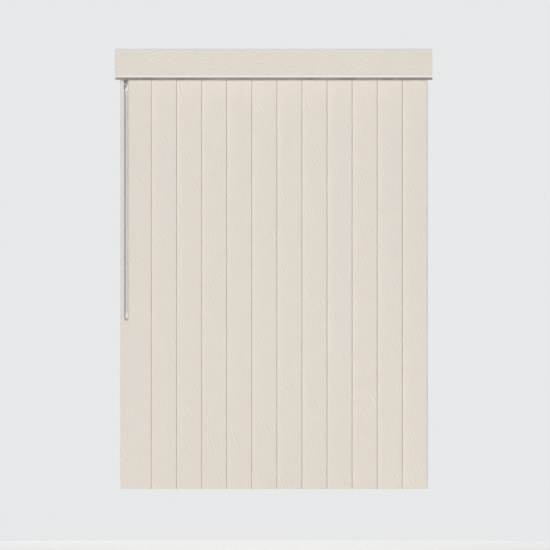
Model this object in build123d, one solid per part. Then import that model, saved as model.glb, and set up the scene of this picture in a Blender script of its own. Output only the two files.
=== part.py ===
from build123d import *
import os
from math import cos, hypot, pi, radians, sin, tan

# Vertical blind, in millimetres. Z is up, the front faces -Y, and the origin lies in the
# mounting plane on top of the brackets, over the middle of the vanes' row of pivots.

# Vanes
vane_count = 12
vane_pitch = 70.0
vane_width = 89.0
vane_length = 1184.0
vane_thickness = 0.8
vane_headroom = 2.0
closed_angle = 10.0
hang_slot_length = 14.0
hang_slot_height = 4.5
hang_slot_drop = 8.0
hang_slot_corner = 1.4

# Brackets on the mounting plane
bracket_inset = 118.0
bracket_width = 25.0
bracket_plate = 2.0
bracket_hook = 1.5
bracket_fit = 0.1
screw_hole_radius = 2.25

# Headrail, an extruded channel with a slot below
rail_end_margin = 53.0
rail_width = 44.0
rail_height = 28.0
rail_wall = 1.5
rail_lip = 1.5
rail_recess = 3.0
rail_shoulder = 4.0
rail_slot = 18.0
rail_corner = 2.0
rib_height = 1.0
rib_width = 2.0
rib_spacing = 26.0

# End caps
cap_thickness = 2.0
cap_plug_depth = 8.0
cap_plug_wall = 2.0
cap_plug_fit = 0.2
cap_boss_wall = 2.2

# Worm and pinion, with straight flanks
pinion_teeth = 8
worm_lead = 3.4
worm_pitch_radius = 3.9
worm_addendum = 0.7
worm_dedendum = 1.0
worm_length = 10.6
thread_thickness = 1.2
thread_sink = 0.3
thread_sides = 8
thread_turns = 1.5
flank_angle = 20.0
pinion_addendum = 0.74
pinion_dedendum = 0.96
pinion_thickness = 3.0
pinion_float = 0.2
tooth_thickness = 1.3

# Tilt rod, a hexagonal bar whose ends turn in round bushes
rod_corner = 2.0
rod_fit = 0.1
rod_end_length = 6.0
rod_float = 0.3
running_fit = 0.05

# Carriers
carrier_length = 13.0
carrier_side_gap = 0.9
carrier_height = 14.8
carrier_gear_rise = 8.1
runner_gap = 0.2
keel_length = 12.0
keel_side_gap = 0.5
keel_below = 1.0
cheek = 1.0
worm_room = 0.4
pinion_room = 1.05
throat_width = 5.4
rod_opening = 5.4
window_edge = 1.7

# Spacer strips on the carriers
strip_width = 6.0
strip_thickness = 0.35
strip_slope = 0.04
strip_reach = 66.0
strip_offset = 8.0

# Stems
journal_radius = 3.0
journal_sides = 12
bearing_sides = 8
stem_float = 0.2
stem_width = 8.0
finger_thickness = 1.2
finger_gap = 0.1
finger_over = 6.0
slot_over = 0.6
peg_width = 6.0
peg_height = 3.0

# Wand, its drive and its arm on the lead carrier
wand_offset = 27.5
wand_clearance = 1.5
wand_radius = 5.6
wand_length = 626.5
arm_width = 18.0
arm_height = 11.0
arm_edge = 1.5
drive_head_radius = 5.5
drive_head_height = 2.0
drive_radius = 5.4
drive_float = 0.1
joint_drop = 17.0
pin_spacing = 10.0
pin_radius = 1.5
tongue_thickness = 3.2
tongue_width = 7.0
fork_gap = 0.2
link_radius = 5.6
link_ear = 4.0
ferrule_length = 10.0
grip_length = 18.0
grip_wall = 0.7
grip_socket = 12.0
grip_fit = 0.05
grip_bevel = 2.5

# Valance
valance_gap = 8.0
valance_height = 87.0
valance_overhang = 2.0
valance_wall = 1.2
valance_top_lip = 6.0
valance_bottom_lip = 6.0
valance_foot = 6.6
valance_foot_depth = 10.0
insert_thickness = 1.0
insert_fit = 0.1

# Clips between the rail and the valance
clip_offset = 30.0
clip_width = 12.0
clip_thickness = 1.5
clip_jaw = 3.0
clip_leg = 20.0
clip_fit = 0.1

# Shared overrun of the cuts
overrun = 1.0

# Levels below the mounting plane
rail_top = -bracket_plate
rail_bottom = rail_top - rail_height
rail_floor = rail_bottom + rail_wall
rail_roof = rail_top - rail_recess - rail_wall
lip_under = rail_top - rail_wall
carrier_bottom = rail_floor + rib_height + runner_gap
carrier_top = carrier_bottom + carrier_height
gear_level = carrier_bottom + carrier_gear_rise
keel_bottom = rail_bottom - keel_below
arm_bottom = keel_bottom - arm_height
vane_top = arm_bottom - vane_headroom
vane_bottom = vane_top - vane_length
slot_top = vane_top - hang_slot_drop
slot_bottom = slot_top - hang_slot_height

# Places across and along the rail
half_rail = rail_width / 2
half_lip = half_rail + rail_lip
half_cavity = half_rail - rail_wall
row_length = (vane_count - 1) * vane_pitch
rail_length = row_length + 2 * rail_end_margin
pivots = [index * vane_pitch - row_length / 2 for index in range(vane_count)]
bracket_reach = rail_length / 2 - bracket_inset
bracket_places = [-bracket_reach, 0, bracket_reach]
wand_x = pivots[0] - wand_offset
wand_y = -(vane_width / 2 + wand_clearance + wand_radius)
valance_back = wand_y - wand_radius - valance_gap
valance_front = valance_back - 2 * valance_wall - insert_thickness - 2 * insert_fit
valance_length = rail_length + 2 * cap_thickness + 2 * valance_overhang

# Worm drive
pinion_pitch_radius = pinion_teeth * worm_lead / (2 * pi)
mesh_distance = worm_pitch_radius + pinion_pitch_radius
worm_root = worm_pitch_radius - worm_dedendum
worm_crest = worm_pitch_radius + worm_addendum
pinion_tip = pinion_pitch_radius + pinion_addendum
pinion_root = pinion_pitch_radius - pinion_dedendum
flank_slope = tan(radians(flank_angle))

# Wand joint levels
upper_pin = -valance_height - joint_drop
lower_pin = upper_pin - pin_spacing
shoulder_drop = hypot(link_radius, link_ear) + fork_gap
drive_shoulder = upper_pin + shoulder_drop
wand_shoulder = lower_pin - shoulder_drop
wand_end = wand_shoulder - wand_length


def block(x0, x1, y0, y1, z0, z1):
    # Box between two limits on each axis
    size = Box(abs(x1 - x0), abs(y1 - y0), abs(z1 - z0))
    return Pos((x0 + x1) / 2, (y0 + y1) / 2, (z0 + z1) / 2) * size


def post(radius, x, y, z0, z1):
    # Upright round bar
    return Pos(x, y, (z0 + z1) / 2) * Cylinder(radius, abs(z1 - z0))


def bar_along_x(face, x0, x1):
    # Section drawn in Y and Z, carried along X
    return Pos(x0, 0, 0) * extrude(Plane.YZ * face, x1 - x0)


def mirrored_outline(half):
    # Closed section from the points of its +Y half
    return make_face(Polyline(*half, *[(-y, z) for y, z in reversed(half)], close=True))


def lower_corners(face, count):
    # Outermost corners of the lowest edge of a section
    lowest = face.vertices().group_by(Axis.Y)[0]
    return sorted(lowest, key=lambda corner: -abs(corner.X))[:count]


def headrail():
    rib_inner = (rib_spacing - rib_width) / 2
    rib_outer = rib_inner + rib_width
    rib_top = rail_floor + rib_height
    half = [
        (half_rail - rail_shoulder, rail_top - rail_recess),
        (half_rail - rail_shoulder, rail_top),
        (half_lip, rail_top),
        (half_lip, lip_under),
        (half_rail, lip_under),
        (half_rail, rail_bottom),
        (rail_slot / 2, rail_bottom),
        (rail_slot / 2, rail_floor),
        (rib_inner, rail_floor),
        (rib_inner, rib_top),
        (rib_outer, rib_top),
        (rib_outer, rail_floor),
        (half_cavity, rail_floor),
        (half_cavity, rail_roof),
    ]
    section = mirrored_outline(half)
    section = fillet(lower_corners(section, 2), rail_corner)
    return bar_along_x(section, -rail_length / 2, rail_length / 2)


def end_cap(side):
    # Cover plate, hollow plug in the rail and the tilt rod's bearing boss
    inner = side * rail_length / 2
    outer = inner + side * cap_thickness
    plug = inner - side * cap_plug_depth
    cover = mirrored_outline([(half_lip, rail_top), (half_lip, lip_under), (half_rail, lip_under),
                              (half_rail, rail_bottom)])
    cover = fillet(lower_corners(cover, 2), rail_corner)
    cap = bar_along_x(cover, min(inner, outer), max(inner, outer))
    half = half_cavity - cap_plug_fit
    low = rail_floor + rib_height + cap_plug_fit
    high = rail_roof - cap_plug_fit
    cap += block(inner, plug, -half, half, low, high)
    room = half - cap_plug_wall
    cap -= block(inner, plug - side * overrun, -room, room, low + cap_plug_wall, high - cap_plug_wall)
    bore_radius = rod_corner + running_fit
    boss = bore_radius + cap_boss_wall
    cap += block(inner, plug, mesh_distance - boss, mesh_distance + boss,
                 gear_level - boss, gear_level + boss)
    bore_depth = rod_end_length + rod_float
    bore = Cylinder(bore_radius, bore_depth + overrun)
    middle = plug + side * (bore_depth - overrun) / 2
    cap -= Pos(middle, mesh_distance, gear_level) * Rot(0, 90, 0) * bore
    return cap


def mounting_bracket(x):
    # Ceiling plate whose two hooks close under the rail's lips
    lip_side = half_lip + bracket_fit
    hook_top = lip_under - bracket_fit
    hook_bottom = hook_top - bracket_hook
    section = mirrored_outline([
        (lip_side + bracket_hook, 0),
        (lip_side + bracket_hook, hook_bottom),
        (half_rail + bracket_fit, hook_bottom),
        (half_rail + bracket_fit, hook_top),
        (lip_side, hook_top),
        (lip_side, rail_top),
    ])
    bracket = bar_along_x(section, x - bracket_width / 2, x + bracket_width / 2)
    return bracket - post(screw_hole_radius, x, 0, rail_top - overrun, overrun)


def valance_clip(x):
    # Jaw on the rail's front lip, arm, and an upright plate in the valance's rear hook
    jaw_top = rail_top + clip_thickness
    arm_low = lip_under - clip_thickness
    jaw_front = -half_lip - clip_thickness
    plate_rear = valance_back + clip_thickness
    section = make_face(Polyline(
        (-half_lip + clip_jaw, jaw_top),
        (jaw_front, jaw_top),
        (jaw_front, lip_under),
        (plate_rear, lip_under),
        (plate_rear, -valance_wall),
        (valance_back, -valance_wall),
        (valance_back, arm_low - clip_leg),
        (plate_rear, arm_low - clip_leg),
        (plate_rear, arm_low),
        (-half_rail, arm_low),
        (-half_rail, lip_under),
        (-half_lip, lip_under),
        (-half_lip, rail_top),
        (-half_lip + clip_jaw, rail_top),
        close=True))
    return bar_along_x(section, x - clip_width / 2, x + clip_width / 2)


def valance_channel():
    # Thin channel with two front lips, a foot slanting back and a rear hook that drops over the clips
    hook_inner = valance_back + clip_thickness + clip_fit
    hook_tip = lip_under + clip_fit
    lip_rear = valance_front + valance_wall
    groove_rear = valance_back - valance_wall
    foot_top = -valance_height + valance_foot
    foot_rear = valance_front + valance_foot_depth
    foot_inner = -valance_height + valance_wall
    foot_slope = valance_foot / valance_foot_depth
    section = make_face(Polyline(
        (hook_inner + valance_wall, hook_tip),
        (hook_inner + valance_wall, 0),
        (valance_front, 0),
        (valance_front, -valance_top_lip),
        (lip_rear, -valance_top_lip),
        (lip_rear, -valance_wall),
        (groove_rear, -valance_wall),
        (groove_rear, foot_top + valance_wall),
        (lip_rear, foot_top + valance_wall),
        (lip_rear, foot_top + valance_bottom_lip),
        (valance_front, foot_top + valance_bottom_lip),
        (valance_front, foot_top),
        (foot_rear, -valance_height),
        (foot_rear, foot_inner),
        (valance_back, foot_inner + (foot_rear - valance_back) * foot_slope),
        (valance_back, -valance_wall),
        (hook_inner, -valance_wall),
        (hook_inner, hook_tip),
        close=True))
    return bar_along_x(section, -valance_length / 2, valance_length / 2)


def valance_insert():
    rear = valance_back - valance_wall - insert_fit
    top = -valance_wall - insert_fit
    low = -valance_height + valance_foot + valance_wall
    return block(-valance_length / 2, valance_length / 2, rear - insert_thickness, rear, low, top)


def hexagon_bar(corner, length):
    # Hexagonal bar along X, flats up and down
    return extrude(Plane.YZ * RegularPolygon(corner, 6), length / 2, both=True)


def tilt_rod():
    rod_end = rail_length / 2 - cap_plug_depth + rod_end_length
    return Pos(0, mesh_distance, gear_level) * hexagon_bar(rod_corner, 2 * rod_end)


def worm_thread():
    # Ridge wound around X in flat facets, with its middle facing the pinion
    start = pi - pi * thread_turns
    crest_half = thread_thickness / 2 - worm_addendum * flank_slope
    root_half = crest_half + (worm_addendum + worm_dedendum + thread_sink) * flank_slope
    ridge = [(worm_root - thread_sink, -root_half), (worm_crest, -crest_half),
             (worm_crest, crest_half), (worm_root - thread_sink, root_half)]
    sections = []
    for index in range(round(thread_sides * thread_turns) + 1):
        angle = start + 2 * pi * index / thread_sides
        along = worm_lead * (index / thread_sides - thread_turns / 2)
        sections.append([(along + side, radius * cos(angle), radius * sin(angle)) for radius, side in ridge])
    outlines = [sections[0], sections[-1]]
    for here, there in zip(sections, sections[1:]):
        for corner in range(len(ridge)):
            before = corner - 1
            outlines.append([here[before], here[corner], there[corner]])
            outlines.append([here[before], there[corner], there[before]])
    return Solid(Shell([make_face(Polyline(*outline, close=True)) for outline in outlines]))


def worm():
    core = extrude(Plane.YZ * RegularPolygon(worm_root, thread_sides), worm_length / 2, both=True)
    body = core + worm_thread() - hexagon_bar(rod_corner + rod_fit, worm_length + overrun)
    return Pos(0, mesh_distance, gear_level) * body


def carrier():
    # Trolley with a window for the pinion, a pocket for the worm and a keel in the rail's slot
    half_length = carrier_length / 2
    half_width = half_cavity - carrier_side_gap
    rise = strip_slope * carrier_length
    side = make_face(Polyline((-half_length, carrier_bottom), (half_length, carrier_bottom),
                              (half_length, carrier_top + rise), (-half_length, carrier_top), close=True))
    body = extrude(Plane.XZ * side, half_width, both=True)
    half_keel = rail_slot / 2 - keel_side_gap
    body += block(-keel_length / 2, keel_length / 2, -half_keel, half_keel, keel_bottom, carrier_bottom)
    window = pinion_tip + pinion_room
    half_window = pinion_thickness / 2 + pinion_float
    past = half_length + overrun
    body -= block(-past, past, -window, window, gear_level - half_window, gear_level + half_window)
    pocket = worm_crest + worm_room
    body -= block(-half_length + cheek, half_length - cheek, mesh_distance - pocket, mesh_distance + pocket,
                  gear_level - pocket, carrier_top + rise + overrun)
    opening = rod_opening / 2
    body -= block(-past, past, mesh_distance - opening, mesh_distance + opening,
                  gear_level - opening, gear_level + opening)
    body -= block(-past, past, -half_width + window_edge, -window - window_edge,
                  carrier_bottom + window_edge, carrier_top - window_edge)
    bearing = RegularPolygon(journal_radius + running_fit, bearing_sides, major_radius=False)
    body -= Pos(0, 0, keel_bottom) * extrude(bearing, gear_level - keel_bottom)
    body -= block(0, past, -throat_width / 2, throat_width / 2, keel_bottom, gear_level)
    return body


def spacer_strip():
    # Thin strip that lies on its carrier's sloping top and reaches over the next carrier
    start = -carrier_length / 2
    end_rise = strip_slope * (strip_reach - start)
    side = make_face(Polyline((start, carrier_top), (strip_reach, carrier_top + end_rise),
                              (strip_reach, carrier_top + end_rise + strip_thickness),
                              (start, carrier_top + strip_thickness), close=True))
    strip = extrude(Plane.XZ * side, strip_width / 2, both=True)
    return Pos(0, -strip_offset, 0) * strip


def lead_arm():
    # Closed gear arm under the lead carrier, rounded around the wand's drive
    keel_start = wand_x - arm_width / 2 - pivots[0]
    half_keel = rail_slot / 2 - keel_side_gap
    arm = block(keel_start, -keel_length / 2, -half_keel, half_keel, keel_bottom, carrier_bottom)
    outline = Pos(-wand_offset, (wand_y + half_keel) / 2) * Rectangle(arm_width, half_keel - wand_y)
    outline += Pos(-wand_offset, wand_y) * Circle(arm_width / 2)
    housing = Pos(0, 0, arm_bottom) * extrude(outline, arm_height)
    housing = chamfer(housing.faces().sort_by(Axis.Z)[0].edges(), arm_edge)
    arm += housing
    return arm - post(journal_radius + running_fit, -wand_offset, wand_y, arm_bottom - overrun,
                      keel_bottom + overrun)


def pinion_outline():
    # Straight-flanked teeth with a gap facing the worm
    step = 2 * pi / pinion_teeth
    root_half = tooth_thickness / 2 + pinion_dedendum * flank_slope
    tip_half = tooth_thickness / 2 - pinion_addendum * flank_slope
    points = []
    for index in range(pinion_teeth):
        angle = pi / 2 + step * (index + 1 / 2)
        for radius, half in ((pinion_root, -root_half), (pinion_tip, -tip_half),
                             (pinion_tip, tip_half), (pinion_root, root_half)):
            points.append((radius * cos(angle) - half * sin(angle), radius * sin(angle) + half * cos(angle)))
    return make_face(Polyline(*points, close=True))


def stem():
    # Pinion, journal, and two fingers with a peg through the vane's slot
    pinion_low = gear_level - pinion_thickness / 2
    body = Pos(0, 0, pinion_low) * extrude(pinion_outline(), pinion_thickness)
    journal = RegularPolygon(journal_radius, journal_sides)
    journal_low = keel_bottom - stem_float
    body += Pos(0, 0, journal_low) * extrude(journal, pinion_low - journal_low)
    inner = vane_thickness / 2 + finger_gap
    outer = inner + finger_thickness
    tip = slot_bottom - finger_over
    hook = block(-stem_width / 2, stem_width / 2, -outer, outer, tip, journal_low)
    hook -= block(-stem_width / 2, stem_width / 2, -inner, inner, tip, vane_top + slot_over)
    hook += block(-peg_width / 2, peg_width / 2, -inner, inner - finger_gap, slot_top - peg_height, slot_top)
    return body + Rot(0, 0, -closed_angle) * hook


def vane():
    face = Pos(0, (vane_top + vane_bottom) / 2) * Rectangle(vane_width, vane_length)
    slot = Rectangle(hang_slot_length, hang_slot_height)
    face -= Pos(0, (slot_top + slot_bottom) / 2) * chamfer(slot.vertices(), hang_slot_corner)
    sheet = extrude(Plane.XZ * face, vane_thickness / 2, both=True)
    return Rot(0, 0, -closed_angle) * sheet


def tongue(pin_level, shoulder):
    # Flat tongue across X with a round end about its pin
    flat = block(-tongue_thickness / 2, tongue_thickness / 2, -tongue_width / 2, tongue_width / 2,
                 pin_level, shoulder)
    flat += Pos(0, 0, pin_level) * Rot(0, 90, 0) * Cylinder(tongue_width / 2, tongue_thickness)
    return flat - Pos(0, 0, pin_level) * Rot(0, 90, 0) * Cylinder(pin_radius + running_fit, tongue_width)


def wand_drive_shaft():
    head_low = keel_bottom + drive_float
    shaft = Pos(0, 0, head_low) * extrude(RegularPolygon(drive_head_radius, 8), drive_head_height)
    shaft += post(journal_radius, 0, 0, arm_bottom - drive_float, head_low)
    shaft += post(drive_radius, 0, 0, drive_shoulder, arm_bottom - drive_float)
    return shaft + tongue(upper_pin, drive_shoulder)


def link_section():
    # Octagon with flats on both pins' axes
    return RegularPolygon(link_radius, 8, rotation=180 / 8)


def wand_link():
    # Double fork with crossed slots and a pin in each
    slot = tongue_thickness / 2 + fork_gap
    depth = tongue_width / 2 + fork_gap
    high = upper_pin + link_ear
    low = lower_pin - link_ear
    link = Pos(0, 0, low) * extrude(link_section(), high - low)
    link -= block(-slot, slot, -link_radius, link_radius, upper_pin - depth, high)
    link -= block(-link_radius, link_radius, -slot, slot, low, lower_pin + depth)
    link += Pos(0, 0, upper_pin) * Rot(0, 90, 0) * Cylinder(pin_radius, 2 * slot)
    return link + Pos(0, 0, lower_pin) * Rot(90, 0, 0) * Cylinder(pin_radius, 2 * slot)


def wand_section(radius):
    # Hexagon with a ridge to the front
    return RegularPolygon(radius, 6, rotation=30)


def wand():
    body = Rot(0, 0, 90) * tongue(lower_pin, wand_shoulder)
    body += Pos(0, 0, wand_shoulder - ferrule_length) * extrude(link_section(), ferrule_length)
    bar = Pos(0, 0, wand_end) * extrude(wand_section(wand_radius), wand_length)
    return body + bar


def wand_grip():
    low = wand_end + grip_socket - grip_length
    grip = Pos(0, 0, low) * extrude(wand_section(wand_radius + grip_fit + grip_wall), grip_length)
    grip = chamfer(grip.faces().sort_by(Axis.Z)[0].edges(), grip_bevel)
    socket = Pos(0, 0, wand_end) * extrude(wand_section(wand_radius + grip_fit), grip_socket + overrun)
    return grip - socket


def beside_wand(piece):
    return Pos(wand_x, wand_y, 0) * piece


pieces = {
    "headrail": headrail(),
    "left_end_cap": end_cap(-1),
    "right_end_cap": end_cap(1),
    "mounting_brackets": Compound([mounting_bracket(x) for x in bracket_places]),
    "valance_channel": valance_channel(),
    "valance_insert": valance_insert(),
    "valance_clips": Compound([valance_clip(x + clip_offset) for x in bracket_places]),
    "tilt_rod": tilt_rod(),
    "wand_drive_shaft": beside_wand(wand_drive_shaft()),
    "wand_link": beside_wand(wand_link()),
    "wand": beside_wand(wand()),
    "wand_grip": beside_wand(wand_grip()),
}

plain_carrier = carrier()
plain_strip = spacer_strip()
plain_worm = worm()
plain_stem = stem()
plain_vane = vane()
for number, pivot in enumerate(pivots, 1):
    place = Pos(pivot, 0, 0)
    trolley = plain_carrier
    name = f"carrier_{number:02d}"
    if number == 1:
        trolley = plain_carrier + lead_arm()
        name = "lead_carrier"
    solids = [place * trolley]
    if number < vane_count:
        solids.append(place * plain_strip)
    pieces[name] = Compound(solids)
    pieces[f"worm_{number:02d}"] = place * plain_worm
    pieces[f"stem_{number:02d}"] = place * plain_stem
    pieces[f"vane_{number:02d}"] = place * plain_vane

os.makedirs("parts", exist_ok=True)
for name, piece in pieces.items():
    export_step(piece, f"parts/{name}.step")
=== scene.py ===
import bpy
import math
import numpy as np
from mathutils import Matrix, Vector


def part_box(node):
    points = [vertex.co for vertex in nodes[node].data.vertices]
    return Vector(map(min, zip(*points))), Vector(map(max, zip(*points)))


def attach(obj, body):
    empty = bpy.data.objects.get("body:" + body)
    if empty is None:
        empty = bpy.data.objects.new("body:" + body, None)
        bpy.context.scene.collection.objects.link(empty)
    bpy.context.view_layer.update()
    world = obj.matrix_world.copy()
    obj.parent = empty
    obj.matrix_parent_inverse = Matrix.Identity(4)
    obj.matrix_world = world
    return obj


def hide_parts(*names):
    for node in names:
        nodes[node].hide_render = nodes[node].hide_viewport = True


# Looks of the vertical blind around the CAD frame, in metres. The front faces -Y and Z is up.
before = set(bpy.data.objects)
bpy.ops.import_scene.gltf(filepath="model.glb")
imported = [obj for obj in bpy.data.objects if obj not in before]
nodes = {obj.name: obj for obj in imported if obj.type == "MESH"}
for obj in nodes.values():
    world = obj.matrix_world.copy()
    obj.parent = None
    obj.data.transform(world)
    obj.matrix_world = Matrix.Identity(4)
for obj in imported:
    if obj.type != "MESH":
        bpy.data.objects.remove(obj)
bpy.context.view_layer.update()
scene = bpy.context.scene
print("frame loaded,", len(nodes), "nodes")


def plug(tree, socket, value):
    # a link where the value is another node's socket, otherwise a plain value
    if isinstance(value, bpy.types.NodeSocket):
        tree.links.new(value, socket)
    else:
        socket.default_value = value


def add(tree, kind, values=None, **settings):
    made = tree.nodes.new(kind)
    for key, value in settings.items():
        setattr(made, key, value)
    for key, value in (values or {}).items():
        plug(tree, made.inputs[key], value)
    return made


def calc(tree, operation, *values):
    return add(tree, "ShaderNodeMath", dict(enumerate(values)), operation=operation).outputs[0]


def calcVector(tree, operation, first, second):
    return add(tree, "ShaderNodeVectorMath", {0: first, 1: second}, operation=operation).outputs[0]


def ramp(tree, value, low, high, toLow=0.0, toHigh=1.0):
    # smooth step from low..high to toLow..toHigh
    spread = {"Value": value, "From Min": low, "From Max": high, "To Min": toLow, "To Max": toHigh}
    return add(tree, "ShaderNodeMapRange", spread, interpolation_type="SMOOTHSTEP").outputs[0]


def noise(tree, place, scale, detail=2.0, roughness=0.5):
    values = {"Vector": place, "Scale": scale, "Detail": detail, "Roughness": roughness}
    return add(tree, "ShaderNodeTexNoise", values).outputs["Fac"]


def blendColour(tree, factor, first, second):
    made = add(tree, "ShaderNodeMix", {0: factor}, data_type="RGBA")
    for key, value in ((6, first), (7, second)):  # the colour sockets of a mix node
        linked = isinstance(value, bpy.types.NodeSocket)
        plug(tree, made.inputs[key], value if linked else (*value, 1.0))
    return made.outputs[2]


def group(name, inputs, outputs):
    tree = bpy.data.node_groups.new(name, "ShaderNodeTree")
    for label in inputs:
        tree.interface.new_socket(label, in_out="INPUT", socket_type="NodeSocketVector")
    for label in outputs:
        tree.interface.new_socket(label, in_out="OUTPUT", socket_type="NodeSocketFloat")
    return tree, tree.nodes.new("NodeGroupInput").outputs, tree.nodes.new("NodeGroupOutput").inputs


# Fine strokes between the pressed ones: marks in two directions a little apart,
# stronger in loose patches, over the grain of the skin
strokeGrain = {"fine": {"size": (0.0030, 0.0030, 0.026), "edge": (0.54, 0.66)},
               "cross": {"size": (0.0042, 0.0042, 0.040), "edge": (0.57, 0.68)},
               "apart": (0.0, 0.16, 0.0), "detail": 1.0, "roughness": 0.4,
               "patch": {"scale": 34.0, "edge": (0.38, 0.62), "share": 0.8},
               "skin": {"scale": 900.0, "share": 0.12}}
strokes, given, result = group("embossedStrokes", ["Place", "Turn"], ["Mask", "Height"])


def drawnMarks(tree, place, turn, grain):
    # noise turned about Y, drawn out along Z by the grain's size and cut to marks
    turned = add(tree, "ShaderNodeMapping", {"Vector": place, "Rotation": turn}).outputs[0]
    drawn = calcVector(tree, "DIVIDE", turned, grain["size"])
    field = noise(tree, drawn, 1.0, strokeGrain["detail"], strokeGrain["roughness"])
    return ramp(tree, field, *grain["edge"])


turnedOn = calcVector(strokes, "ADD", given["Turn"], strokeGrain["apart"])
fine = drawnMarks(strokes, given["Place"], given["Turn"], strokeGrain["fine"])
cross = drawnMarks(strokes, given["Place"], turnedOn, strokeGrain["cross"])
patchGrain, skinGrain = strokeGrain["patch"], strokeGrain["skin"]
patch = ramp(strokes, noise(strokes, given["Place"], patchGrain["scale"]), *patchGrain["edge"])
patch = calc(strokes, "MULTIPLY_ADD", patch, patchGrain["share"], 1.0 - patchGrain["share"])
mask = calc(strokes, "MULTIPLY", calc(strokes, "MAXIMUM", fine, cross), patch)
skin = noise(strokes, given["Place"], skinGrain["scale"])
strokes.links.new(mask, result["Mask"])
strokes.links.new(calc(strokes, "MULTIPLY_ADD", skin, skinGrain["share"], mask), result["Height"])

# Faint handling marks: cloudy tone, fine lines drawn out by the grain, and grit
wearGrain = {"cloud": {"scale": 18.0, "detail": 4.0, "roughness": 0.6}, "cloudEdge": (0.3, 0.7),
             "line": {"scale": 1.0, "detail": 3.0, "roughness": 0.6},
             "grit": {"scale": 2600.0, "detail": 2.0, "roughness": 0.6}}
wear, given, result = group("wear", ["Place", "Grain"], ["Cloud", "Line", "Grit"])
cloud = noise(wear, given["Place"], **wearGrain["cloud"])
lines = calcVector(wear, "DIVIDE", given["Place"], given["Grain"])
wear.links.new(ramp(wear, cloud, *wearGrain["cloudEdge"]), result["Cloud"])
wear.links.new(noise(wear, lines, **wearGrain["line"]), result["Line"])
wear.links.new(noise(wear, given["Place"], **wearGrain["grit"]), result["Grit"])


def useGroup(tree, source, **values):
    made = tree.nodes.new("ShaderNodeGroup")
    made.node_tree = source
    for key, value in values.items():
        plug(tree, made.inputs[key], value)
    return made.outputs


def material(name):
    made = bpy.data.materials.new(name)
    made.use_nodes = True
    tree = made.node_tree
    place = add(tree, "ShaderNodeTexCoord").outputs["Object"]
    return made, tree, place, tree.nodes["Principled BSDF"].inputs


def bump(tree, height, distance):
    return add(tree, "ShaderNodeBump", {"Height": height, "Distance": distance}).outputs[0]


def along(tree, place, axis):
    return add(tree, "ShaderNodeSeparateXYZ", {0: place}).outputs[axis]


def embossed(name, look):
    # PVC sheet: tone follows the pressed strokes of the mesh, with finer strokes between them; the darker
    # tone in pressed strokes and the lighter tone where the sheet stands out are painted shade and painted
    # highlight of the embossing
    made, tree, place, shader = material(name)
    field = useGroup(tree, strokes, Place=place, Turn=look["turn"])
    marks = useGroup(tree, wear, Place=place, Grain=look["grain"])
    pressed = add(tree, "ShaderNodeAttribute", attribute_name="stroke").outputs["Fac"]
    mask = calc(tree, "MAXIMUM", pressed, calc(tree, "MULTIPLY", field["Mask"], look["fine"]))
    tone = blendColour(tree, mask, look["colour"], look["stroke"])
    tone = blendColour(tree, calc(tree, "MULTIPLY", pressed, -1.0), tone, look["raisedHighlight"])
    cloud = calc(tree, "MULTIPLY", marks["Cloud"], look["cloud"])
    tone = blendColour(tree, cloud, tone, look["dust"])
    out = calc(tree, "ABSOLUTE", along(tree, place, look["across"]))
    edge = ramp(tree, out, *look["edge"])  # dark strip along the sheet's outer edges: on the vanes, painted shade for the shadow line where each vane's front edge overlaps the next; on the insert, a fainter darker strip at its two ends
    tree.links.new(blendColour(tree, edge, tone, look["rim"]), shader["Base Color"])
    rough = ramp(tree, mask, 0.0, 1.0, look["rough"], look["rough"] - look["polish"])
    tree.links.new(rough, shader["Roughness"])
    tree.links.new(bump(tree, field["Height"], look["depth"]), shader["Normal"])
    shader["Specular IOR Level"].default_value = look["gloss"]
    return made


mouldedFinish = {"toneEdge": (0.35, 0.65), "roughEdge": (0.3, 0.7), "spread": 0.06, "index": 1.49}


def moulded(name, look):
    # satin plastic, paint or metal with drawn lines along its length and fine grit
    made, tree, place, shader = material(name)
    marks = useGroup(tree, wear, Place=place, Grain=look["grain"])
    tone = look["colour"]
    for band in look.get("bands", []):  # colour break across Z: a two-tone top lip on the valance; painted shade on the valance's foot and on the top of the wand's hook
        step = ramp(tree, along(tree, place, "Z"), *band["between"])
        tone = blendColour(tree, step, band["below"], tone)
    cloud = calc(tree, "MULTIPLY", marks["Cloud"], look["cloud"])
    tone = blendColour(tree, cloud, tone, look["dust"])
    shade = ramp(tree, marks["Line"], *mouldedFinish["toneEdge"], 0.0, look["line"])
    tree.links.new(blendColour(tree, shade, tone, look["dust"]), shader["Base Color"])
    smooth = look["rough"] - mouldedFinish["spread"]
    dull = look["rough"] + mouldedFinish["spread"]
    rough = ramp(tree, marks["Line"], *mouldedFinish["roughEdge"], smooth, dull)
    tree.links.new(rough, shader["Roughness"])
    height = calc(tree, "MULTIPLY_ADD", marks["Grit"], look["grit"], marks["Line"])
    tree.links.new(bump(tree, height, look["depth"]), shader["Normal"])
    shader["Metallic"].default_value = look.get("metal", 0.0)
    shader["Transmission Weight"].default_value = look.get("clear", 0.0)
    shader["Specular IOR Level"].default_value = look.get("gloss", 0.5)
    shader["IOR"].default_value = mouldedFinish["index"]
    return made


def dress(made, *names):
    for name in names:
        nodes[name].data.materials.clear()
        nodes[name].data.materials.append(made)


def numbered(start, first=1, last=12):
    return [f"{start}_{number:02d}" for number in range(first, last + 1)]


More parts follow.
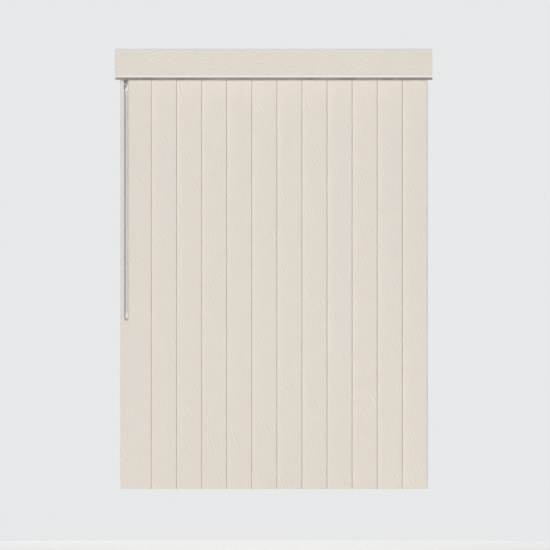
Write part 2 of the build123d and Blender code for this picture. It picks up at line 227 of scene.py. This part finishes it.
def pressedStrokes(across, upward, size, look, seed):
    # sum over random clusters of a wave under a soft window, with p across and q along its strokes:
    # weight * cos(2 pi p / pitch + phase) * exp(-(p / width)^2 - (q / length)^4)
    # above 0 is pressed in, below 0 stands out
    draw = np.random.default_rng(seed)
    count = int(size[0] * size[1] * look["density"])
    middle = draw.uniform(-0.5, 0.5, (count, 2)) * size
    lean = look["lean"] + draw.normal(0.0, look["leanSpread"], count)
    pitch = look["pitch"] * draw.uniform(*look["pitchRange"], count)
    width = look["width"] * draw.uniform(*look["sizeRange"], count)
    length = look["length"] * draw.uniform(*look["sizeRange"], count)
    weight = draw.uniform(*look["weightRange"], count)
    phase = draw.uniform(0.0, 2 * math.pi, count)
    height = np.zeros(across.shape)
    for i in range(count):
        dx = across - middle[i, 0]
        dz = upward - middle[i, 1]
        p = dx * math.cos(lean[i]) + dz * math.sin(lean[i])
        q = dz * math.cos(lean[i]) - dx * math.sin(lean[i])
        wave = weight[i] * np.cos(2 * math.pi * p / pitch[i] + phase[i])
        height += wave * np.exp(-(p / width[i]) ** 2 - (q / length[i]) ** 4)
    return np.clip(height, -1.0, 1.0)


def between(stops, step):
    # sorted stops, with even steps filled in between them
    counts = [max(1, round((b - a) / step)) for a, b in zip(stops, stops[1:])]
    runs = [np.linspace(a, b, n, endpoint=False) for a, b, n in zip(stops, stops[1:], counts)]
    return np.append(np.concatenate(runs), stops[-1])


def slotWalls(x, z, facing, behind, cut):
    # quads from the slot's border on the front to the one on the back, after the border's
    # corner points have moved onto the middle of each cut corner
    for border in (facing, behind):
        corners = border[[0, 0, -1, -1], [0, -1, 0, -1]]
        x.flat[corners] += cut / 2 * np.array([1, -1, 1, -1])
        z.flat[corners] += cut / 2 * np.array([1, 1, -1, -1])
    sill = np.stack([facing[0, :-1], facing[0, 1:], behind[0, 1:], behind[0, :-1]], axis=-1)
    roof = np.stack([behind[-1, :-1], behind[-1, 1:], facing[-1, 1:], facing[-1, :-1]], axis=-1)
    left = np.stack([facing[:-1, 0], behind[:-1, 0], behind[1:, 0], facing[1:, 0]], axis=-1)
    right = np.stack([facing[1:, -1], behind[1:, -1], behind[:-1, -1], facing[:-1, -1]], axis=-1)
    return np.concatenate([sill, roof, left, right])


def embossedSheet(name, look, seed, turn=0.0, middle=(0.0, 0.0)):
    # a ring around the sheet's thickness at each row: front columns, right edge, back columns, left edge,
    # with the front set back by depth * stroke, then turned about Z by the turn and moved to the middle
    half, thick, soft = look["width"] / 2, look["thickness"] / 2, look["rounding"]
    low, high, flat = look["low"], look["high"], look["flat"]
    stepAcross, stepUp = look["step"]
    slot = look["slot"]
    inner, levels = [], []
    if slot:
        reach, cut = slot["half"], slot["corner"]
        inner = between([-reach, cut - reach, reach - cut, reach], stepAcross)
        levels = [slot["low"], slot["low"] + cut, slot["high"] - cut, slot["high"]]
    front = between([soft - half, flat - half, *inner, half - flat, half - soft], stepAcross)
    back = between([soft - half, *inner, half - soft], look["backStep"])[::-1]
    rows = between([low, low + flat, *levels, high - flat, high], stepUp)
    rim = thick - soft
    x = np.concatenate([front, [half, half], back, [-half, -half]])
    y = np.concatenate([np.full(front.size, -thick), [-rim, rim], np.full(back.size, thick), [rim, -rim]])
    x, z = np.meshgrid(x, rows)
    y = np.tile(y, (rows.size, 1))
    # the strokes fade towards the front's borders and the slot
    inside = np.minimum(half - np.abs(x), np.minimum(z - low, high - z))
    if slot:
        slotLevel = (slot["low"] + slot["high"]) / 2
        gap = np.maximum(np.abs(x) - reach, np.abs(z - slotLevel) - cut)
        inside = np.minimum(inside, gap)
    fade = np.clip((inside - flat) / look["fade"], 0.0, 1.0)
    stroke = np.zeros(x.shape)
    faced = slice(0, front.size)
    upward = z[:, faced] - (low + high) / 2
    field = pressedStrokes(x[:, faced], upward, (2 * half, high - low), look["strokes"], seed)
    stroke[:, faced] = field * fade[:, faced]
    y = y + look["depth"] * stroke
    index = np.arange(x.size).reshape(x.shape)
    following = np.roll(index, -1, axis=1)
    quads = np.stack([index[:-1], following[:-1], following[1:], index[1:]], axis=-1)
    keep = np.ones(quads.shape[:2], bool)
    walls = np.zeros((0, 4), int)
    if slot:
        hair = 1e-6  # slack for finding a stop among the columns and rows
        left, right = np.searchsorted(front, inner[[0, -1]] - hair)
        foot, head = np.searchsorted(rows, np.array([levels[0], levels[-1]]) - hair)
        # the back's columns over the slot are the front's, counted the other way
        backRight, backLeft = front.size + 2 + np.searchsorted(-back, -inner[[-1, 0]] - hair)
        keep[foot:head, left:right] = False
        keep[foot:head, backRight:backLeft] = False
        facing = index[foot:head + 1, left:right + 1]
        behind = index[foot:head + 1, backRight:backLeft + 1][:, ::-1]
        walls = slotWalls(x, z, facing, behind, cut)
    turnedX = x * math.cos(turn) - y * math.sin(turn) + middle[0]
    turnedY = x * math.sin(turn) + y * math.cos(turn) + middle[1]
    points = np.stack([turnedX, turnedY, z], axis=-1).reshape(-1, 3)
    sides = quads[keep]
    faces = [*sides.tolist(), *walls.tolist(), index[-1].tolist(), index[0, ::-1].tolist()]
    mesh = bpy.data.meshes.new(name)
    mesh.from_pydata(points.tolist(), [], faces)
    mesh.polygons.foreach_set("use_smooth", np.arange(len(faces)) < len(sides))
    mesh.attributes.new("stroke", "FLOAT", "POINT").data.foreach_set("value", stroke.ravel())
    made = bpy.data.objects.new(name, mesh)
    scene.collection.objects.link(made)
    return made


vaneLook = {"turn": (0.0, math.radians(25), 0.0), "grain": (0.02, 0.02, 0.3),
            # stroke colour is painted shade in the pressed strokes, raised colour is painted highlight
            # where the sheet stands out
            "colour": (0.78, 0.72, 0.645), "stroke": (0.714, 0.654, 0.579), "raisedHighlight": (0.84, 0.786, 0.711),
            "dust": (0.74, 0.69, 0.62), "cloud": 0.25, "rough": 0.55, "polish": 0.1, "gloss": 0.4,
            # the rim colour is painted shade: a dark line at each vane's edge standing in for the overlap
            # shadow
            "depth": 0.0001, "fine": 0.35, "across": "Y", "edge": (0.0078, 0.00805),
            "rim": (0.225, 0.19, 0.155)}
vaneSheet = {"width": 0.089, "thickness": 0.0008, "low": -1.228, "high": -0.044, "rounding": 0.00022,
             "flat": 0.001, "fade": 0.002, "step": (0.002, 0.0036), "backStep": 0.008, "depth": 0.00012,
             "slot": {"half": 0.007, "low": -0.0565, "high": -0.052, "corner": 0.0014},
             "strokes": {"density": 1700.0, "lean": math.radians(26), "leanSpread": 0.12,
                         "pitch": 0.009, "pitchRange": (0.8, 1.2), "width": 0.008, "length": 0.011,
                         "sizeRange": (0.6, 1.4), "weightRange": (0.3, 1.0)}}
vaneRow = {"first": -0.385, "pitch": 0.07, "angle": math.radians(-10), "seed": 40}
vanePvc = embossed("vanePvc", vaneLook)
for number, node in enumerate(numbered("vane")):
    middle = (vaneRow["first"] + vaneRow["pitch"] * number, 0.0)
    seed = vaneRow["seed"] + number
    sheet = embossedSheet(f"embossed_{node}", vaneSheet, seed, vaneRow["angle"], middle)
    sheet.data.materials.append(vanePvc)
    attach(sheet, f"hung_{node}")
    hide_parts(node)
print("vanes embossed")

# the insert's stroke and raised colours are the same painted shade and painted highlight of its embossing
insertLook = dict(vaneLook, turn=(0.0, math.radians(-65), 0.0), grain=(0.3, 0.02, 0.02), across="X",
                  edge=(0.439, 0.443), rim=(0.576, 0.528, 0.468), colour=(0.704, 0.646, 0.570),
                  stroke=(0.627, 0.570, 0.495), raisedHighlight=(0.772, 0.721, 0.645))
insertLow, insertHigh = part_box("valance_insert")
insertSheet = dict(vaneSheet, width=insertHigh[0] - insertLow[0], low=insertLow[2], high=insertHigh[2],
                   thickness=insertHigh[1] - insertLow[1], step=(0.0036, 0.002), slot=None,
                   strokes=dict(vaneSheet["strokes"], lean=math.radians(-64)), seed=70)
insertMiddle = (0.0, (insertLow[1] + insertHigh[1]) / 2)
insert = embossedSheet("embossed_insert", insertSheet, insertSheet["seed"], 0.0, insertMiddle)
insert.data.materials.append(embossed("insertPvc", insertLook))
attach(insert, "rail")
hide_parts("valance_insert")
print("valance insert embossed")

# Valance channel: a greyer top lip over a cream face, and a near-black foot below z -0.0804 that is painted
# shade for the dark line under the valance
valanceLook = {"grain": (0.25, 0.0012, 0.0012), "colour": (0.695, 0.681, 0.656), "dust": (0.68, 0.65, 0.60),
               "cloud": 0.3, "line": 0.2, "rough": 0.58, "gloss": 0.25, "grit": 0.25, "depth": 0.00002,
               "bands": [{"between": (-0.0402, -0.0398), "below": (0.848, 0.803, 0.743)},
                         {"between": (-0.0806, -0.0802), "below": (0.185, 0.184, 0.178)}]}
dress(moulded("valancePlastic", valanceLook), "valance_channel")

railLook = {"grain": (0.4, 0.0008, 0.0008), "colour": (0.78, 0.78, 0.76), "dust": (0.64, 0.63, 0.60),
            "cloud": 0.3, "line": 0.3, "rough": 0.46, "grit": 0.6, "depth": 0.00003}
dress(moulded("railPaint", railLook), "headrail")

capLook = {"grain": (0.004, 0.004, 0.02), "colour": (0.80, 0.79, 0.76), "dust": (0.62, 0.60, 0.56),
           "cloud": 0.35, "line": 0.2, "rough": 0.45, "grit": 0.8, "depth": 0.00004}
dress(moulded("capPlastic", capLook), "left_end_cap", "right_end_cap")

bracketLook = {"grain": (0.0009, 0.03, 0.03), "colour": (0.54, 0.55, 0.56), "dust": (0.39, 0.39, 0.38),
               "cloud": 0.5, "line": 0.4, "rough": 0.52, "grit": 0.4, "depth": 0.00002, "metal": 1.0}
dress(moulded("bracketSteel", bracketLook), "mounting_brackets")

clipLook = {"grain": (0.002, 0.02, 0.002), "colour": (0.86, 0.87, 0.86), "dust": (0.7, 0.7, 0.68),
            "cloud": 0.3, "line": 0.15, "rough": 0.22, "grit": 0.3, "depth": 0.00002, "clear": 0.6}
dress(moulded("clipPlastic", clipLook), "valance_clips")

rodLook = {"grain": (0.12, 0.0003, 0.0003), "colour": (0.68, 0.69, 0.70), "dust": (0.48, 0.48, 0.47),
           "cloud": 0.3, "line": 0.5, "rough": 0.3, "grit": 0.2, "depth": 0.00001, "metal": 1.0}
dress(moulded("rodAluminium", rodLook), "tilt_rod")

wormLook = {"grain": (0.002, 0.0006, 0.0006), "colour": (0.06, 0.06, 0.065), "dust": (0.16, 0.155, 0.15),
            "cloud": 0.3, "line": 0.25, "rough": 0.36, "grit": 0.5, "depth": 0.00002}
dress(moulded("wormPlastic", wormLook), *numbered("worm"))

stemLook = {"grain": (0.0015, 0.0015, 0.02), "colour": (0.80, 0.78, 0.73), "dust": (0.62, 0.60, 0.55),
            "cloud": 0.3, "line": 0.2, "rough": 0.34, "grit": 0.5, "depth": 0.00002, "clear": 0.15}
dress(moulded("stemPlastic", stemLook), *numbered("stem"))

carrierLook = {"grain": (0.003, 0.003, 0.003), "colour": (0.78, 0.77, 0.74), "dust": (0.60, 0.58, 0.54),
               "cloud": 0.14, "line": 0.1, "rough": 0.42, "grit": 0.7, "depth": 0.00003}
stripLook = {"half": 0.0065, "top": -0.0125, "rise": 0.04, "colour": (0.58, 0.59, 0.60),
             "past": 0.0002, "lift": 0.00008, "skin": 0.00004}


def steelStrip(made, look):
    # a strip lies on each carrier's sloping top and runs on past it: the plastic turns to steel
    # where the height over that slope, with a lift for the run past the carrier, is more than the skin
    tree = made.node_tree
    shader = tree.nodes["Principled BSDF"].inputs
    place = tree.nodes["Texture Coordinate"].outputs["Object"]
    start = vaneRow["first"] - look["half"]
    run = calc(tree, "SUBTRACT", along(tree, place, "X"), start)
    run = calc(tree, "FLOORED_MODULO", run, vaneRow["pitch"])
    slope = calc(tree, "MULTIPLY_ADD", run, look["rise"], look["top"])
    over = calc(tree, "SUBTRACT", along(tree, place, "Z"), slope)
    past = calc(tree, "GREATER_THAN", run, 2 * look["half"] + look["past"])
    over = calc(tree, "MULTIPLY_ADD", past, look["lift"], over)
    strip = calc(tree, "GREATER_THAN", over, look["skin"])
    plain = shader["Base Color"].links[0].from_socket
    tree.links.new(blendColour(tree, strip, plain, look["colour"]), shader["Base Color"])
    tree.links.new(strip, shader["Metallic"])
    return made


carrierPlastic = steelStrip(moulded("carrierPlastic", carrierLook), stripLook)
dress(carrierPlastic, "lead_carrier", *numbered("carrier", 2))

wandLook = {"grain": (0.0006, 0.0006, 0.2), "colour": (0.52, 0.51, 0.49), "dust": (0.41, 0.40, 0.385),
            "cloud": 0.2, "line": 0.3, "rough": 0.56, "grit": 0.2, "depth": 0.00001, "metal": 0.2,
            "gloss": 0.25}
dress(moulded("wandPlastic", wandLook), "wand")

# the hook is dark over its top and turns lighter grey below z -0.114: painted shade of the valance falling
# on it
hookLook = dict(wandLook, colour=(0.17, 0.167, 0.163), dust=(0.12, 0.118, 0.115), rough=0.55, metal=0.5,
                gloss=0.3, bands=[{"between": (-0.114, -0.088), "below": (0.57, 0.56, 0.55)}])
dress(moulded("hookMetal", hookLook), "wand_drive_shaft", "wand_link")

gripLook = dict(wandLook, colour=(0.62, 0.61, 0.595), dust=(0.5, 0.49, 0.475), rough=0.5)
dress(moulded("gripPlastic", gripLook), "wand_grip")
print("materials set")

# Stage: a pale round floor under the hanging blind, clear from below
floorLook = {"radius": 1.6, "sides": 128, "level": -1.40, "colour": (0.84, 0.84, 0.83), "rough": 0.8}
bpy.ops.mesh.primitive_circle_add(vertices=floorLook["sides"], radius=floorLook["radius"],
                                  fill_type="NGON", location=(0.0, 0.0, 0.0))
floor = bpy.context.object
floor.name = "floor"
floor.data.transform(Matrix.Translation((0.0, 0.0, floorLook["level"])))
floorPaint, tree, place, shader = material("floorPaint")
shader["Base Color"].default_value = (*floorLook["colour"], 1.0)
shader["Roughness"].default_value = floorLook["rough"]
under = add(tree, "ShaderNodeNewGeometry").outputs["Backfacing"]
tree.links.new(calc(tree, "SUBTRACT", 1.0, under), shader["Alpha"])
floor.data.materials.append(floorPaint)

# Soft studio light: boxes square to the front, over the back, behind, and low to the right.
# The front one is narrowed and aimed high, so that it fades where the floor lights the vanes
lamps = [
    {"name": "keyLight", "place": (-0.50, -14.0, 0.10), "size": (1.2, 0.9), "watts": 186.0,
     "aim": (-0.20, 0.0, 0.30), "spread": math.radians(74)},
    {"name": "topLight", "place": (0.3, 2.2, 4.6), "size": (4.0, 3.2), "watts": 250.0},
    {"name": "backLight", "place": (-2.0, 7.0, 0.8), "size": (3.0, 3.0), "watts": 90.0},
    {"name": "sideLight", "place": (8.0, -0.80, -0.85), "size": (1.0, 2.2), "watts": 440.0},
]
blindMiddle = (0.0, 0.0, -0.63)
for lamp in lamps:
    light = bpy.data.lights.new(lamp["name"], "AREA")
    light.shape = "RECTANGLE"
    light.size, light.size_y = lamp["size"]
    light.energy = lamp["watts"]
    light.spread = lamp.get("spread", math.pi)
    holder = bpy.data.objects.new(lamp["name"], light)
    holder.location = lamp["place"]
    aim = Vector(lamp.get("aim", blindMiddle))
    holder.rotation_euler = (aim - holder.location).to_track_quat("-Z", "Y").to_euler()
    holder.visible_camera = False
    scene.collection.objects.link(holder)

airLook = {"light": (0.24, 0.24, 0.24), "backdrop": (0.80, 0.81, 0.82)}
world = bpy.data.worlds.new("studio")
scene.world = world
world.use_nodes = True
air = world.node_tree
seen = add(air, "ShaderNodeLightPath").outputs["Is Camera Ray"]
backdrop = air.nodes["Background"].inputs
air.links.new(blendColour(air, seen, airLook["light"], airLook["backdrop"]), backdrop["Color"])
backdrop["Strength"].default_value = 1.0
scene.view_settings.view_transform = "Standard"
print("stage and light set")

# Camera square to the front, far enough for the photo's flat perspective
cameraLook = {"distance": 40.0, "field": 1.5356, "centre": (0.0032, -0.631), "sensor": 36.0,
              "reach": 120.0}
eye = bpy.data.cameras.new("eye")
eye.sensor_width = cameraLook["sensor"]
eye.lens = cameraLook["sensor"] * cameraLook["distance"] / cameraLook["field"]
eye.clip_end = cameraLook["reach"]
viewer = bpy.data.objects.new("eye", eye)
viewer.location = (cameraLook["centre"][0], -cameraLook["distance"], cameraLook["centre"][1])
viewer.rotation_euler = (math.pi / 2, 0.0, 0.0)
scene.collection.objects.link(viewer)
scene.camera = viewer
print("camera set")
